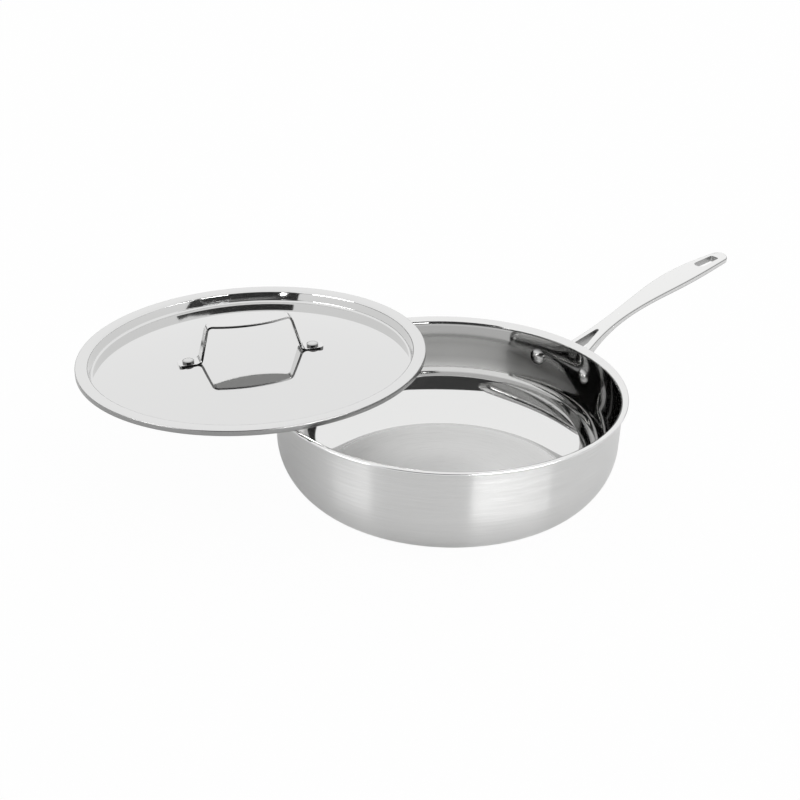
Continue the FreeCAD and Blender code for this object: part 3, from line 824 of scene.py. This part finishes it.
under = panel_height(LID_RIVET_SPACING / 2) - LID_SHEET
grip = pad_seat + STRAP - under
for side, way in (("left", -1), ("right", 1)):
    bm = rivet_shape(LID_RIVET_HEAD, LID_RIVET_SIDE, LID_RIVET_TAIL, LID_RIVET_SHANK, grip)
    bmesh.ops.translate(bm, vec=(way * LID_RIVET_SPACING / 2, 0, under), verts=bm.verts)
    bmesh.ops.transform(bm, matrix=laid(), verts=bm.verts)
    finished(bm, "panel_rivet_" + side, rivet_steel, "rivets", "lid_body", "lid_rivet_" + side)

# The table: a large pale sheet that the pan stands on.
# It shows white to the camera and whiter than it is in the steel, and keeps a soft shadow.
TABLE_HALF = 6.0
TABLE_DROP = 0.05 * MM
TABLE_COLOUR = (0.80, 0.80, 0.80, 1.0)
TABLE_ROUGHNESS = 0.9
SEEN_WHITE = 0.97
MIRRORED_WHITE = 0.18

table_mesh = bpy.data.meshes.new("table")
bm = bmesh.new()
bmesh.ops.create_grid(bm, x_segments=1, y_segments=1, size=TABLE_HALF)
bmesh.ops.translate(bm, vec=(0, 0, -TABLE_DROP), verts=bm.verts)
bm.to_mesh(table_mesh)
bm.free()
table = bpy.data.objects.new("table", table_mesh)
bpy.context.collection.objects.link(table)
paper = bpy.data.materials.new("white_paper")
paper.use_nodes = True
tree = paper.node_tree
shader = tree.nodes["Principled BSDF"]
shader.inputs["Base Color"].default_value = TABLE_COLOUR
shader.inputs["Roughness"].default_value = TABLE_ROUGHNESS
rays = node(tree, "ShaderNodeLightPath")
mirrored = math_node(tree, "MAXIMUM", rays.outputs["Is Glossy Ray"], rays.outputs["Is Transmission Ray"])
seen = math_node(tree, "MAXIMUM", math_node(tree, "MULTIPLY", rays.outputs["Is Camera Ray"], SEEN_WHITE),
                 math_node(tree, "MULTIPLY", mirrored, MIRRORED_WHITE))
white = node(tree, "ShaderNodeEmission")
mixed = node(tree, "ShaderNodeMixShader")
tree.links.new(seen, mixed.inputs[0])
tree.links.new(shader.outputs[0], mixed.inputs[1])
tree.links.new(white.outputs[0], mixed.inputs[2])
tree.links.new(mixed.outputs[0], tree.nodes["Material Output"].inputs["Surface"])
table_mesh.materials.append(paper)

# The studio: a white surround, with a dark screen across the side that the picture is taken from, a long
# low softbox standing on each side of it, and a low dark ring far off.
FRONT_AZIMUTH = math.radians(44.2)
SCREEN_REACH = 1.5
SCREEN = ((-1.30, 0.02), (-1.30, 0.36), (-1.20, 0.60), (-1.12, 1.12), (-1.05, 1.29), (0.95, 1.32),
          (1.75, 1.62), (2.55, 2.05), (2.74, 2.00), (1.45, 0.70), (0.37, 0.33), (0.37, 0.02))
SCREEN_COLOUR = (0.038, 0.038, 0.038, 1.0)
SOFTBOXES = ((0.37, 3.20, 12.5), (-6.00, -1.62, 11.5))
SOFTBOX_HEIGHT = (0.02, 0.33)
RING = (6.2, 0.74)
RING_SEGMENTS = 64
RING_COLOUR = (0.10, 0.10, 0.10, 1.0)
WHITE = (1.0, 1.0, 1.0, 1.0)
WORLD_STRENGTH = 1.0

right = Vector((math.cos(FRONT_AZIMUTH), -math.sin(FRONT_AZIMUTH), 0))
away = Vector((math.sin(FRONT_AZIMUTH), math.cos(FRONT_AZIMUTH), 0))


def standing(outline):
    """Corners of an upright sheet between the pan and the place that the picture is taken from."""
    return [right * side - away * SCREEN_REACH + Vector((0, 0, height)) for side, height in outline]


def card(name, bm, colour, brightness):
    """A staged sheet, unseen by the camera: it shows in the steel, and a bright one lights the table."""
    mesh = bpy.data.meshes.new(name)
    bm.to_mesh(mesh)
    bm.free()
    material = bpy.data.materials.new(name)
    material.use_nodes = True
    shader = material.node_tree.nodes["Principled BSDF"]
    shader.inputs["Base Color"].default_value = colour
    shader.inputs["Roughness"].default_value = 1.0
    shader.inputs["Emission Color"].default_value = colour
    shader.inputs["Emission Strength"].default_value = brightness
    mesh.materials.append(material)
    sheet = bpy.data.objects.new(name, mesh)
    sheet.visible_camera = False
    bpy.context.collection.objects.link(sheet)


upright = [("dark_screen", SCREEN, SCREEN_COLOUR, 0.0)]
for start, end, brightness in SOFTBOXES:
    bottom, top = SOFTBOX_HEIGHT
    outline = ((start, bottom), (start, top), (end, top), (end, bottom))
    upright.append(("softbox", outline, WHITE, brightness))
for name, outline, colour, brightness in upright:
    bm = bmesh.new()
    bm.faces.new([bm.verts.new(corner) for corner in standing(outline)])
    card(name, bm, colour, brightness)
bm = bmesh.new()
ring_radius, ring_height = RING
bmesh.ops.create_circle(bm, radius=ring_radius, segments=RING_SEGMENTS)
drawn = bmesh.ops.extrude_edge_only(bm, edges=bm.edges[:])["geom"]
raised = [part for part in drawn if isinstance(part, bmesh.types.BMVert)]
bmesh.ops.translate(bm, vec=(0, 0, ring_height), verts=raised)
card("low_ring", bm, RING_COLOUR, 0.0)
scene = bpy.context.scene
scene.view_settings.view_transform = "Standard"
world = bpy.data.worlds.new("studio")
scene.world = world
world.use_nodes = True
background = world.node_tree.nodes["Background"]
background.inputs["Color"].default_value = WHITE
background.inputs["Strength"].default_value = WORLD_STRENGTH

# The camera: a long lens, looking down at the pan from the screen's side.
# It is turned a little about its line of sight.
CAMERA_DOWN = math.radians(26.226)
CAMERA_ROLL = math.radians(1.163)
CAMERA_PLACE = (-1.0809, -1.0543, 0.8229)
CAMERA_LENS = 92.18

forward = away * math.cos(CAMERA_DOWN) - Vector((0, 0, math.sin(CAMERA_DOWN)))
up = right.cross(forward)
turned_right = right * math.cos(CAMERA_ROLL) + up * math.sin(CAMERA_ROLL)
turned_up = up * math.cos(CAMERA_ROLL) - right * math.sin(CAMERA_ROLL)
camera_data = bpy.data.cameras.new("camera")
camera_data.lens = CAMERA_LENS
camera = bpy.data.objects.new("camera", camera_data)
camera.matrix_world = Matrix((turned_right, turned_up, -forward)).transposed().to_4x4()
camera.location = CAMERA_PLACE
bpy.context.collection.objects.link(camera)
scene.camera = camera
